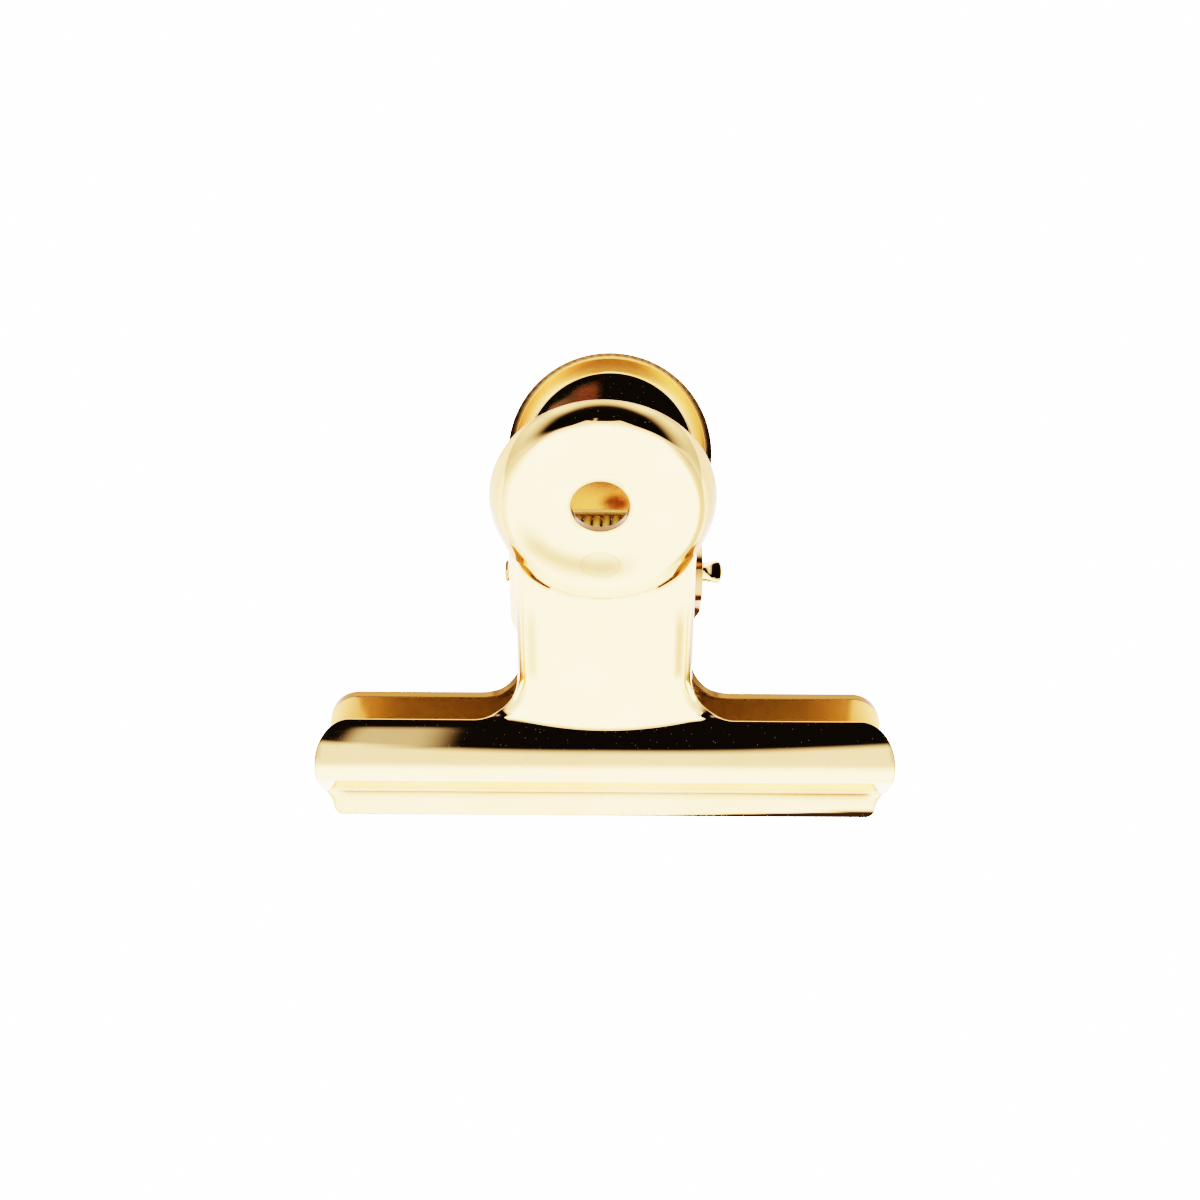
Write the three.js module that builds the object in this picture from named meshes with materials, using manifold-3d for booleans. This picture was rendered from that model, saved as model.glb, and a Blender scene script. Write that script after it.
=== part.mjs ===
// Bulldog letter clip, 30 mm jaws, stamped sheet steel with a gold finish.
// Two identical stampings (bar, neck, round cupped handle) face each other and
// turn on a wire pin through their lugs. A torsion spring round the pin pushes
// the handles apart and so holds the lips together.
//
// Clip coordinates while building: x along the jaws, h from the lips towards
// the handles, d from the middle plane towards the front. The finished clip lies
// on its rear plate, so the group is leant back at the end.
import * as THREE from 'three';
import { mergeVertices } from 'three/addons/utils/BufferGeometryUtils.js';
import Module from 'manifold-3d';

const wasm = await Module();
wasm.setup();

// ---------------------------------------------------------------- dimensions, mm
const SHEET = 0.4;              // sheet thickness
const JAW_WIDTH = 30.0;         // nominal size of the clip
const LIP_WIDTH = 28.9;         // the lips are a little narrower than the bars
const LIP_FACE = 0.45;          // outer face of a lip, from the middle plane
const LIP_HEIGHT = 1.52;        // lip bottom to the crease
const CREST_H = 3.68;           // centre of the bar's round crest
const CREST_D = 2.32;
const CREST_R = 1.0;            // outer radius of the crest
const CREST_FALL = 24;          // slope of the bar above the crest, degrees
const WING_TOP = 6.05;          // free edge of the bar's wings
const WING_CORNER = 1.75;       // corner of the wings, across
const WING_CORNER_H = 2.1;      // and down the bar
const WAIST_R = 0.7;            // inside bend between bar and neck
const HANDLE_TILT = 21;         // neck and handle lean out from the middle plane, degrees
const DISC_H = 18.155;          // centre of the handle's outer face
const DISC_D = 6.835;
const DISC_X = -0.17;           // the handle sits a little to one side
const FACE_R = 4.51;            // flat part of the handle's face
const RIM_BEND = 0.6;           // outer radius between face and rim
const RIM_ANGLE = 55;           // rim turned in from the face, degrees
const RIM_LENGTH = 0.93;        // straight part of the rim
const HOLE_R = 1.41;            // hanging hole
const HOLE_X = -0.3;             // and its centre, across and up from the handle's
const HOLE_U = 0.1;
const NECK_LEFT = -4.5;         // neck's outer sides
const NECK_RIGHT = 4.45;
const NECK_BEND = 1.0;          // outer radius of the flange bends
const NECK_FILLET = 2.3;        // outline radius between neck and wing
const LUG_OUT = -4.95;          // outer face of the joggled lug
const JOGGLE_START = 2.2;       // joggle of the outer flange, from the neck's face
const JOGGLE_END = 3.3;
const LUG_R = 1.6;              // lug round the pin
const FLANGE_TOP = -3.2;        // top of the flanges, along the handle from its centre
const FLANGE_BOTTOM = -10.5;    // bottom of the flanges
const BRIDGE_LEFT = -2.8;       // bridge of flat sheet between neck and handle
const BRIDGE_RIGHT = 1.7;
const SLIT_R = 5.78;            // slits follow the rim at this radius
const PIN_H = 13.39;            // pivot pin
const PIN_R = 0.5;
const PIN_HOLE_R = 0.55;
const PIN_LEFT = -5.24;
const PIN_RIGHT = 6.02;
const WIRE_R = 0.22;            // spring wire
const COIL_R = 2.67;            // spring coil, to the wire's centre
const COIL_TURNS = 15.5;
const COIL_PITCH = 0.48;

const rad = THREE.MathUtils.degToRad;
const T = rad(HANDLE_TILT);

// ---------------------------------------------------------------- solids
function solid(geometry, matrix) {
  const g = geometry.clone();
  if (matrix) g.applyMatrix4(matrix);
  g.deleteAttribute('normal');
  g.deleteAttribute('uv');
  const m = mergeVertices(g, 1e-5);
  return new wasm.Manifold(new wasm.Mesh({
    numProp: 3,
    vertProperties: new Float32Array(m.attributes.position.array),
    triVerts: new Uint32Array(m.index.array),
  }));
}

function geometryOf(manifold) {
  const mesh = manifold.getMesh();
  const g = new THREE.BufferGeometry();
  g.setAttribute('position', new THREE.BufferAttribute(new Float32Array(mesh.vertProperties), 3));
  g.setIndex(new THREE.BufferAttribute(new Uint32Array(mesh.triVerts), 1));
  g.computeVertexNormals();
  return g;
}

function extrude(points, depth) {
  const shape = new THREE.Shape(points.map(([a, b]) => new THREE.Vector2(a, b)));
  return new THREE.ExtrudeGeometry(shape, { depth, bevelEnabled: false, steps: 1 });
}

// a side profile (h, d) carried along x from x0 to x1
function along_x(points, x0, x1) {
  const m = new THREE.Matrix4().makeBasis(
    new THREE.Vector3(0, 1, 0), new THREE.Vector3(0, 0, 1), new THREE.Vector3(1, 0, 0));
  m.setPosition(x0, 0, 0);
  return solid(extrude(points, x1 - x0), m);
}

// a front outline (x, h) carried along d
function along_d(points, d0, d1) {
  return solid(extrude(points, d1 - d0), new THREE.Matrix4().makeTranslation(0, 0, d0));
}

function arc(cx, cy, rx, ry, a0, a1, n) {
  const out = [];
  for (let i = 0; i <= n; i++) {
    const a = rad(a0 + (a1 - a0) * i / n);
    out.push([cx + rx * Math.cos(a), cy + ry * Math.sin(a)]);
  }
  return out;
}

// handle coordinates: x, u up along the sheet, n out of its outer face, origin at the handle's centre
const handle = new THREE.Matrix4().makeBasis(
  new THREE.Vector3(1, 0, 0),
  new THREE.Vector3(0, Math.cos(T), Math.sin(T)),
  new THREE.Vector3(0, -Math.sin(T), Math.cos(T)));
handle.setPosition(0, DISC_H, DISC_D);
const pinU = -(DISC_H - PIN_H) * Math.cos(T) - DISC_D * Math.sin(T);
const pinN = (DISC_H - PIN_H) * Math.sin(T) - DISC_D * Math.cos(T);

// ---------------------------------------------------------------- bar and neck sheet
// Centre line corners of the profile are given for the outer face, then the
// same bends are drawn for the inner face with radii that keep the sheet's thickness.
function profile(withNeck) {
  const s = SHEET;
  const fall = rad(CREST_FALL);
  // lower flank: line from the crease, tangent to the crest
  const cx = CREST_H - LIP_HEIGHT, cy = CREST_D - LIP_FACE;
  const flank = Math.atan2(cy, cx) + Math.asin(CREST_R / Math.hypot(cx, cy));
  const creaseR = 0.25;
  const creaseT = creaseR * Math.tan(flank / 2);
  const outer = [];
  const inner = [];
  // lip
  outer.push([0, LIP_FACE]);
  inner.push([0, LIP_FACE - s]);
  // crease, hollow on the outside
  const ox = LIP_HEIGHT - creaseT, oy = LIP_FACE + creaseR;
  for (let i = 0; i <= 4; i++) {
    const a = -Math.PI / 2 + flank * i / 4;
    outer.push([ox + creaseR * Math.cos(a), oy + creaseR * Math.sin(a)]);
    inner.push([ox + (creaseR + s) * Math.cos(a), oy + (creaseR + s) * Math.sin(a)]);
  }
  // crest
  for (let i = 0; i <= 12; i++) {
    const a = Math.PI / 2 + flank + (-fall - flank) * i / 12;
    outer.push([CREST_H + CREST_R * Math.cos(a), CREST_D + CREST_R * Math.sin(a)]);
    inner.push([CREST_H + (CREST_R - s) * Math.cos(a), CREST_D + (CREST_R - s) * Math.sin(a)]);
  }
  const tx = CREST_H + CREST_R * Math.sin(fall), ty = CREST_D + CREST_R * Math.cos(fall);
  if (!withNeck) {
    outer.push([WING_TOP, ty - (WING_TOP - tx) * Math.tan(fall)]);
    inner.push([WING_TOP - s * Math.sin(fall), ty - (WING_TOP - tx) * Math.tan(fall) - s * Math.cos(fall)]);
    return outer.concat(inner.reverse());
  }
  // waist: where the falling line meets the neck's plane
  const planeAt = (h) => DISC_D + (h - DISC_H) * Math.tan(T);
  const wh = (ty + tx * Math.tan(fall) - planeAt(0)) / (Math.tan(T) + Math.tan(fall));
  const wd = planeAt(wh);
  const turn = fall + T;
  const t = WAIST_R * Math.tan(turn / 2);
  const sx = wh - t * Math.cos(fall), sy = wd + t * Math.sin(fall);
  const wx = sx + WAIST_R * Math.sin(fall), wy = sy + WAIST_R * Math.cos(fall);
  for (let i = 0; i <= 8; i++) {
    const a = -Math.PI / 2 - fall + turn * i / 8;
    outer.push([wx + WAIST_R * Math.cos(a), wy + WAIST_R * Math.sin(a)]);
    inner.push([wx + (WAIST_R + s) * Math.cos(a), wy + (WAIST_R + s) * Math.sin(a)]);
  }
  const endH = 12.6;
  outer.push([endH, planeAt(endH)]);
  inner.push([endH + s * Math.sin(T), planeAt(endH) - s * Math.cos(T)]);
  return outer.concat(inner.reverse());
}

const half = JAW_WIDTH / 2, lip = LIP_WIDTH / 2;
const barRight = [
  ...arc(lip - 0.5, 0.5, 0.5, 0.5, -90, 0, 5),
  [lip + 0.17, 0.95], [lip + 0.38, 1.3], [half, 1.62],
  ...arc(half - WING_CORNER, WING_TOP - WING_CORNER_H, WING_CORNER, WING_CORNER_H, 0, 90, 9),
];
const barLeft = barRight.map(([x, h]) => [-x, h]).reverse();
const barOutline = along_d([...barRight, ...barLeft], -1, 8);

const wings = along_x(profile(false), -half - 1, half + 1)
  .intersect(barOutline)
  .subtract(along_x([[3.9, 0], [8, 0], [8, 8], [3.9, 8]], -6.6, 6.6));

const filletR = NECK_FILLET;
const neckTop = 8.45;
const neckOutline = [
  [-6.9, 0], [6.9, 0], [6.9, WING_TOP],
  ...arc(NECK_RIGHT + filletR, WING_TOP + filletR, filletR, filletR, 270, 180, 8),
  [NECK_RIGHT, neckTop], [3.2, neckTop], [3.2, 13], [-3.2, 13], [-3.2, neckTop], [NECK_LEFT, neckTop],
  ...arc(NECK_LEFT - filletR, WING_TOP + filletR, filletR, filletR, 0, -90, 8),
  [-6.9, WING_TOP],
];
const neckSheet = along_x(profile(true), -6.9, 6.9).intersect(along_d(neckOutline, -1, 8));

// ---------------------------------------------------------------- flanges and lugs
function channelSection() {
  const s = SHEET, r = NECK_BEND, deep = 7.4;
  const jog = [[NECK_LEFT, -JOGGLE_START], [LUG_OUT, -JOGGLE_END], [LUG_OUT, -deep]];
  const outer = [
    ...arc(NECK_RIGHT - r, -r, r, r, 0, 90, 6),
    ...arc(NECK_LEFT + r, -r, r, r, 90, 180, 6),
    ...jog,
  ];
  const inner = [
    [LUG_OUT + s, -deep], [LUG_OUT + s, -JOGGLE_END + 0.08], [NECK_LEFT + s, -JOGGLE_START + 0.08],
    ...arc(NECK_LEFT + r, -r, r - s, r - s, 180, 90, 6),
    ...arc(NECK_RIGHT - r, -r, r - s, r - s, 90, 0, 6),
    [NECK_RIGHT - s, -deep], [NECK_RIGHT, -deep],
  ];
  return [...outer, ...inner];
}
const channelPlace = handle.clone().multiply(new THREE.Matrix4().makeBasis(
  new THREE.Vector3(1, 0, 0), new THREE.Vector3(0, 0, 1), new THREE.Vector3(0, -1, 0))
  .setPosition(0, FLANGE_TOP, 0));
const channel = solid(extrude(channelSection(), FLANGE_TOP - FLANGE_BOTTOM), channelPlace);

// side outline of the flanges: ears that narrow towards the lug round the pin
const lugArc = arc(pinU, pinN, LUG_R, LUG_R, 20, -180, 16);
const flangeSide = [
  [FLANGE_BOTTOM, 0.5], [FLANGE_BOTTOM, -0.7], [FLANGE_BOTTOM + 0.6, -1.5], [FLANGE_BOTTOM + 1.4, -2.5],
  [pinU - LUG_R - 0.03, -3.6],
  ...lugArc.slice().reverse(),
  [-4.5, -3.1], [FLANGE_TOP - 0.15, -1.2], [FLANGE_TOP, -0.7], [FLANGE_TOP, 0.5],
];
const sidePlace = handle.clone().multiply(new THREE.Matrix4().makeBasis(
  new THREE.Vector3(0, 1, 0), new THREE.Vector3(0, 0, 1), new THREE.Vector3(1, 0, 0))
  .setPosition(-8, 0, 0));
const ears = solid(extrude(flangeSide, 16), sidePlace);

// ---------------------------------------------------------------- handle
function cupProfile() {
  const a = RIM_ANGLE, s = SHEET, c = -RIM_BEND;
  const ra = rad(a);
  const e = [FACE_R + RIM_BEND * Math.sin(ra), c + RIM_BEND * Math.cos(ra)];
  const end = [e[0] + RIM_LENGTH * Math.cos(ra), e[1] - RIM_LENGTH * Math.sin(ra)];
  return [
    [0, 0],
    ...arc(FACE_R, c, RIM_BEND, RIM_BEND, 90, 90 - a, 6),
    end,
    [end[0] - s * Math.sin(ra), end[1] - s * Math.cos(ra)],
    ...arc(FACE_R, c, RIM_BEND - s, RIM_BEND - s, 90 - a, 90, 4),
    [0, -s],
  ];
}
const latheBasis = new THREE.Matrix4().makeBasis(
  new THREE.Vector3(1, 0, 0), new THREE.Vector3(0, 0, 1), new THREE.Vector3(0, -1, 0));
const cupPoints = cupProfile().map(([r, z]) => new THREE.Vector2(r, z)).reverse();
const cup = solid(new THREE.LatheGeometry(cupPoints, 72),
  handle.clone().multiply(latheBasis.clone().setPosition(DISC_X, 0, 0)));
const box = (x0, x1, u0, u1, n0, n1) => solid(new THREE.BoxGeometry(x1 - x0, u1 - u0, n1 - n0),
  handle.clone().multiply(new THREE.Matrix4().makeTranslation((x0 + x1) / 2, (u0 + u1) / 2, (n0 + n1) / 2)));
const drum = (r, n0, n1, x = DISC_X, seg = 72, u = 0) => solid(new THREE.CylinderGeometry(r, r, n1 - n0, seg),
  handle.clone().multiply(latheBasis.clone().setPosition(x, u, (n0 + n1) / 2)));

// the rim stops at the bridge, where the sheet runs on flat into the neck
const openCup = cup.subtract(box(BRIDGE_LEFT, BRIDGE_RIGHT, -7, -4.1, -2, 1));
const bridge = box(BRIDGE_LEFT, BRIDGE_RIGHT, -6.6, -3.8, -SHEET, 0);
const slitCut = drum(SLIT_R, -8, 1).subtract(box(BRIDGE_LEFT, BRIDGE_RIGHT, -8, 8, -9, 2));

const pinHole = solid(new THREE.CylinderGeometry(PIN_HOLE_R, PIN_HOLE_R, 16, 32),
  new THREE.Matrix4().makeTranslation(0, PIN_H, 0).multiply(new THREE.Matrix4().makeRotationZ(Math.PI / 2)));

const flanges = channel.intersect(ears).subtract(slitCut.intersect(box(-9, 9, -8, 3, -2.0, 1)));
const hangingHole = drum(HOLE_R, -2, 1, HOLE_X, 40, HOLE_U);
const plate = wings.add(neckSheet).add(flanges).add(bridge).add(openCup)
  .subtract(pinHole).subtract(hangingHole);
const plateGeometry = geometryOf(plate);

// ---------------------------------------------------------------- pin
// wire pin, pinched flat at both ends so that it cannot slide out
const pinTurn = rad(-22);       // the pinched ends lie about level when the clip lies on its back
const pinch = (points, thick) => {
  const g = extrude(points, thick);
  g.translate(0, 0, -thick / 2);
  return solid(g);
};
const pinRod = solid(new THREE.CylinderGeometry(PIN_R, PIN_R, 5.45 + 5.12, 28),
  new THREE.Matrix4().makeTranslation((5.45 - 5.12) / 2, 0, 0).multiply(new THREE.Matrix4().makeRotationZ(Math.PI / 2)));
const rightPinch = pinch([[5.28, -0.4], [5.58, -0.56], [PIN_RIGHT - 0.14, -0.6], [PIN_RIGHT - 0.04, -0.42], [PIN_RIGHT, 0],
  [PIN_RIGHT - 0.04, 0.42], [PIN_RIGHT - 0.14, 0.6], [5.58, 0.56], [5.28, 0.4]], 0.56);
const leftPinch = pinch([[-5.05, 0.44], [-5.15, 0.57], [PIN_LEFT + 0.02, 0.5], [PIN_LEFT, 0],
  [PIN_LEFT + 0.02, -0.5], [-5.15, -0.57], [-5.05, -0.44]], 0.66);
const pinGeometry = geometryOf(pinRod.add(rightPinch).add(leftPinch));

// ---------------------------------------------------------------- spring
// coil round the pin; each leg runs up inside its handle and ends in a crossbar
// that lies against the sheet
class SpringPath extends THREE.Curve {
  constructor(points) { super(); this.points = points; }
  getPoint(t, target = new THREE.Vector3()) {
    const n = this.points.length - 1;
    const i = Math.min(Math.floor(t * n), n - 1);
    return target.lerpVectors(this.points[i], this.points[i + 1], t * n - i);
  }
}
function legPoints(side) {
  // drawn for the front plate (side 1); the rear one is the same turned half round
  const local = (x, u, n) => new THREE.Vector3(x, u, n).applyMatrix4(handle);
  const x0 = COIL_TURNS * COIL_PITCH / 2;
  const tangent = rad(125);
  const start = new THREE.Vector3(x0, PIN_H + COIL_R * Math.cos(tangent), COIL_R * Math.sin(tangent));
  const pts = [start, local(x0 - 0.05, -5.0, -1.95), local(x0 - 0.2, -4.0, -1.7),
    local(2.6, -3.22, -1.0), local(1.6, -3.05, -0.71), local(-1.6, -3.05, -0.71)];
  const curve = new THREE.CatmullRomCurve3(pts, false, 'centripetal');
  const out = curve.getPoints(20);
  if (side < 0) out.forEach((p) => { p.x = -p.x; p.z = -p.z; });
  return out;
}
const springPoints = [];
{
  const perTurn = 12, n = COIL_TURNS * perTurn;
  const x0 = COIL_TURNS * COIL_PITCH / 2;
  springPoints.push(...legPoints(-1).reverse());
  // the coil starts where the rear leg leaves it and ends where the front leg starts
  const a0 = rad(-125), a1 = rad(125) - Math.PI * 2 * Math.ceil(COIL_TURNS);
  for (let i = 1; i < n; i++) {
    const f = i / n, a = a0 + (a1 - a0) * f;
    springPoints.push(new THREE.Vector3(-x0 + 2 * x0 * f, PIN_H + COIL_R * Math.cos(a), COIL_R * Math.sin(a)));
  }
  springPoints.push(...legPoints(1));
}
const springShape = new THREE.Shape(arc(0, 0, WIRE_R, WIRE_R, 0, 315, 7).map(([a, b]) => new THREE.Vector2(a, b)));
const springGeometry = new THREE.ExtrudeGeometry(springShape, {
  steps: springPoints.length - 1, bevelEnabled: false, extrudePath: new SpringPath(springPoints),
});

// ---------------------------------------------------------------- assembly
const gold = { color: 0xd9ab57, roughness: 0.22, metalness: 1.0 };
const clip = new THREE.Group();

const front = new THREE.Mesh(plateGeometry, new THREE.MeshStandardMaterial(gold));
front.name = 'front_jaw_plate';

const rear = new THREE.Mesh(plateGeometry.clone(), new THREE.MeshStandardMaterial(gold));
rear.name = 'rear_jaw_plate';
rear.rotation.y = Math.PI;      // the same stamping, turned to face the first

const pin = new THREE.Mesh(pinGeometry, new THREE.MeshStandardMaterial({ color: 0xcfa04e, roughness: 0.3, metalness: 1.0 }));
pin.name = 'pivot_pin';
pin.position.set(0, PIN_H, 0);
pin.rotation.x = pinTurn;

const spring = new THREE.Mesh(springGeometry, new THREE.MeshStandardMaterial({ color: 0xc99a4a, roughness: 0.3, metalness: 1.0 }));
spring.name = 'torsion_spring';

clip.add(rear, front, pin, spring);

// The clip lies on its rear plate: the lean is found at which the rear bar's
// crest and the rear handle touch the table together.
function lowest(tilt, h0, h1) {
  const p = plateGeometry.attributes.position;
  let low = Infinity;
  for (let i = 0; i < p.count; i++) {
    const h = p.getY(i), d = -p.getZ(i);
    if (h < h0 || h > h1) continue;
    low = Math.min(low, h * Math.sin(tilt) + d * Math.cos(tilt));
  }
  return low;
}
let lo = rad(5), hi = rad(30);
for (let i = 0; i < 50; i++) {
  const mid = (lo + hi) / 2;
  if (lowest(mid, 0, 8) > lowest(mid, 14, 30)) lo = mid; else hi = mid;
}
const tilt = (lo + hi) / 2;
clip.rotation.x = tilt;

const part = new THREE.Group();
part.add(clip);
part.updateMatrixWorld(true);
const bounds = new THREE.Box3().setFromObject(part, true);
clip.position.set(-(bounds.min.x + bounds.max.x) / 2, -(bounds.min.y + bounds.max.y) / 2, -bounds.min.z);
part.updateMatrixWorld(true);

export default part;
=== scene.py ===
import math

import bpy
import numpy as np
from mathutils import Matrix, Vector
from mathutils.geometry import delaunay_2d_cdt


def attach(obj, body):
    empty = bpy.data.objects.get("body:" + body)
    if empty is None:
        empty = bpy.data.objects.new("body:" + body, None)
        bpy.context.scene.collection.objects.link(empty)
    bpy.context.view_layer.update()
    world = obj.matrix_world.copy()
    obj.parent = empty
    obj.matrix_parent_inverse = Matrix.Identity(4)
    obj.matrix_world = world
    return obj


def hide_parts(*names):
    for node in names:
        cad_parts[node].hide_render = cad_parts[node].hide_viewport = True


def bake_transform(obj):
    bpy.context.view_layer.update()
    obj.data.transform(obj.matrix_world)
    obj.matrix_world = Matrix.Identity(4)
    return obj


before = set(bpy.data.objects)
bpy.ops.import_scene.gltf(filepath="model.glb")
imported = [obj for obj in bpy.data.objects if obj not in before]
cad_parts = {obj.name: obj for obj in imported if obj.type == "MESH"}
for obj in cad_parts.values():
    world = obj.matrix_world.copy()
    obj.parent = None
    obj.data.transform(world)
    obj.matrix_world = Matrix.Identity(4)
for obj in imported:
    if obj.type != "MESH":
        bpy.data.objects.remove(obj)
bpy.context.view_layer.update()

# ------------------------------------------------------------------ dimensions, mm
SHEET = 0.4
HALF = 15.0
LIP = 14.45
LIP_FACE = 0.45
LIP_HEIGHT = 1.32
CREST_H, CREST_D, CREST_R = 3.68, 2.32, 1.0
FALL_0 = math.radians(18.5)
FALL_R = 11.0
WING_TOP = 6.05
WING_CORNER, WING_CORNER_H = 1.75, 2.1
WAIST_R = 0.5
HANDLE_TILT = math.radians(21)
DISC_H, DISC_D, DISC_X = 18.155, 6.835, -0.17
FACE_R = 4.51
RIM_BEND = 0.6
RIM_ANGLE = math.radians(42)
RIM_LENGTH = 1.08
RIM_CURL = math.radians(26)    # the rim goes on curling over its length
HOLE_R, HOLE_X, HOLE_U = 1.41, -0.3, 0.1
NECK_LEFT, NECK_RIGHT = -4.5, 4.45
NECK_BEND = 1.0
WAIST_BULGE = 0.52
NECK_FILLET = 2.3
JOGGLE, JOGGLE_START, JOGGLE_END = 0.45, 2.2, 3.3
LUG_R = 1.6
BRIDGE_LEFT, BRIDGE_RIGHT = -2.8, 2.6
SLIT_IN, SLIT_OUT = 5.26, 5.34
PIN_H = 13.39
PIN_R, PIN_HOLE_R = 0.5, 0.55
WIRE_R, COIL_R, COIL_TURNS, COIL_PITCH = 0.232, 2.67, 15.5, 0.48

LEAN = math.radians(15.2620)
SHIFT = np.array([0.0, -12.402196, 2.267676])

cT, sT = math.cos(HANDLE_TILT), math.sin(HANDLE_TILT)
U_AX = np.array([0.0, cT, sT])
N_AX = np.array([0.0, -sT, cT])
DISC_C = np.array([0.0, DISC_H, DISC_D])
pinU = -(DISC_H - PIN_H) * cT - DISC_D * sT
pinN = (DISC_H - PIN_H) * sT - DISC_D * cT


def to_frame(p, rear=False):
    """Clip coordinates (x, h, d) in mm to the shared frame in metres; the rear half is turned half round."""
    q = np.array(p, float).copy()
    if rear:
        q[..., 0] *= -1
        q[..., 2] *= -1
    c, s = math.cos(LEAN), math.sin(LEAN)
    y = q[..., 1] * c - q[..., 2] * s
    z = q[..., 1] * s + q[..., 2] * c
    return np.stack([q[..., 0] + SHIFT[0], y + SHIFT[1], z + SHIFT[2]], -1) * 1e-3


# ------------------------------------------------------------------ side profile of bar and neck
def arc2(cx, cy, r, a0, a1, n):
    a = np.linspace(a0, a1, n + 1)
    return [(cx + r * math.cos(t), cy + r * math.sin(t)) for t in a]


def build_profile():
    """Outer face of the centre section from the lip's edge up to the handle: points (h, d) at even steps."""
    cx, cy = CREST_H - LIP_HEIGHT, CREST_D - LIP_FACE
    flank = math.atan2(cy, cx) + math.asin(CREST_R / math.hypot(cx, cy))
    crease = 0.13
    t = crease * math.tan(flank / 2)
    pts = [(0.0, LIP_FACE)]
    pts += arc2(LIP_HEIGHT - t, LIP_FACE + crease, crease, -math.pi / 2, -math.pi / 2 + flank, 40)
    # the falling face is slightly bowed: its slope starts at FALL_0 under the crest and grows along a circle of FALL_R
    pts += arc2(CREST_H, CREST_D, CREST_R, math.pi / 2 + flank, math.pi / 2 - FALL_0, 120)
    fx, fy = CREST_H - (FALL_R - CREST_R) * math.sin(FALL_0), CREST_D - (FALL_R - CREST_R) * math.cos(FALL_0)
    plane0 = DISC_D - DISC_H * math.tan(HANDLE_TILT)

    def waist(f):
        sx, sy = fx + FALL_R * math.sin(f), fy + FALL_R * math.cos(f)
        wx, wy = sx + WAIST_R * math.sin(f), sy + WAIST_R * math.cos(f)
        a = -math.pi / 2 - f
        return arc2(wx, wy, WAIST_R, a, a + f + HANDLE_TILT, 60)

    lo, hi = FALL_0, math.radians(45)
    for _ in range(60):
        mid = (lo + hi) / 2
        h, d = waist(mid)[-1]
        if d > plane0 + h * math.tan(HANDLE_TILT):
            lo = mid
        else:
            hi = mid
    pts += arc2(fx, fy, FALL_R, math.pi / 2 - FALL_0, math.pi / 2 - lo, 60)[1:]
    bend = waist(lo)
    pts += bend[1:]
    return np.array(pts), np.array(bend[-1]), np.array([fx, fy])


PROFILE, WAIST_END, FALL_C = build_profile()
_seg = np.hypot(*np.diff(PROFILE, axis=0).T)
_len = np.concatenate([[0], np.cumsum(_seg)])
# b runs along the sheet; above the waist it is the handle's own u coordinate
B_WAIST = (WAIST_END[0] - DISC_H) * cT + (WAIST_END[1] - DISC_D) * sT
B_LIP = B_WAIST - _len[-1]


def profile_at(b):
    """(h, d), unit tangent and unit outer normal of the centre section at b."""
    b = np.asarray(b, float)
    s = np.clip(b - B_LIP, 0, _len[-1])
    low = b < B_WAIST
    h = np.where(low, np.interp(s, _len, PROFILE[:, 0]), DISC_H + b * cT)
    d = np.where(low, np.interp(s, _len, PROFILE[:, 1]), DISC_D + b * sT)
    ang = np.unwrap(np.arctan2(np.diff(PROFILE[:, 1]), np.diff(PROFILE[:, 0])))
    mid = (_len[1:] + _len[:-1]) / 2
    a = np.where(low, np.interp(s, mid, ang), HANDLE_TILT)
    return h, d, a


B_FLANGE = (8.35 - DISC_H - sT * NECK_BEND) / cT


def drop_limit(b):
    """How far below the centre section the bar's falling face lies at b."""
    def gap(bb):
        h, d, a = profile_at(bb)
        # along the inward normal to the circle of the falling face
        px, py = h - FALL_C[0], d - FALL_C[1]
        nx, ny = -np.sin(a), np.cos(a)
        dot = px * nx + py * ny
        disc = np.maximum(dot ** 2 - (px ** 2 + py ** 2 - FALL_R ** 2), 0)
        return np.where(h > 5.0, np.maximum(dot - np.sqrt(disc), 0), 0.0)

    o1 = float(gap(np.array(B_FLANGE)))
    return np.where(b > B_FLANGE, o1 + 6.0 * (b - B_FLANGE), gap(b)), o1


_, DROP_F = drop_limit(np.array([B_FLANGE]))
R2 = DROP_F - NECK_BEND


def section(a, lim, flare):
    """Cross section of the neck: flat, round the flange bend, then out again along the bar's face. Returns x, drop."""
    r1, r2 = NECK_BEND, R2
    left_ = smooth((1.5 - a) / 3)
    xs = NECK_RIGHT - (NECK_LEFT + NECK_RIGHT) * left_ - r1 + flare
    s = np.abs(a) - xs
    al = np.arccos(np.clip(1 - lim / (r1 + r2), 0, 1))
    wall = np.maximum(lim - (r1 + r2), 0)
    x = np.array(a, float)
    drop = np.zeros_like(x)
    s1 = np.clip(s, 0, r1 * al)
    s2 = np.clip(s - r1 * al, 0, wall)
    s3 = np.clip(s - r1 * al - wall, 0, r2 * al)
    s4 = np.maximum(s - r1 * al - wall - r2 * al, 0)
    bent = s > 0
    xb = -s + r1 * np.sin(s1 / r1) + s2 * np.cos(al) + r2 * (np.sin(al) - np.sin(al - s3 / r2)) + s4
    db = r1 * (1 - np.cos(s1 / r1)) + s2 * np.sin(al) + r2 * (np.cos(al - s3 / r2) - np.cos(al))
    x = np.where(bent, a + a / np.sqrt(a ** 2 + 0.05) * xb, x)
    drop = np.where(bent, db, drop)
    return x, drop


def smooth(t):
    t = np.clip(t, 0, 1)
    return t * t * (3 - 2 * t)


MERIDIAN = RIM_BEND * RIM_ANGLE + RIM_LENGTH
RIM_FADE = 2.3     # the rim opens out over this distance beside the bridge
DISH = 0.145        # the face is slightly dished for the thumb
STRETCH = MERIDIAN / (SLIT_IN - FACE_R)


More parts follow.
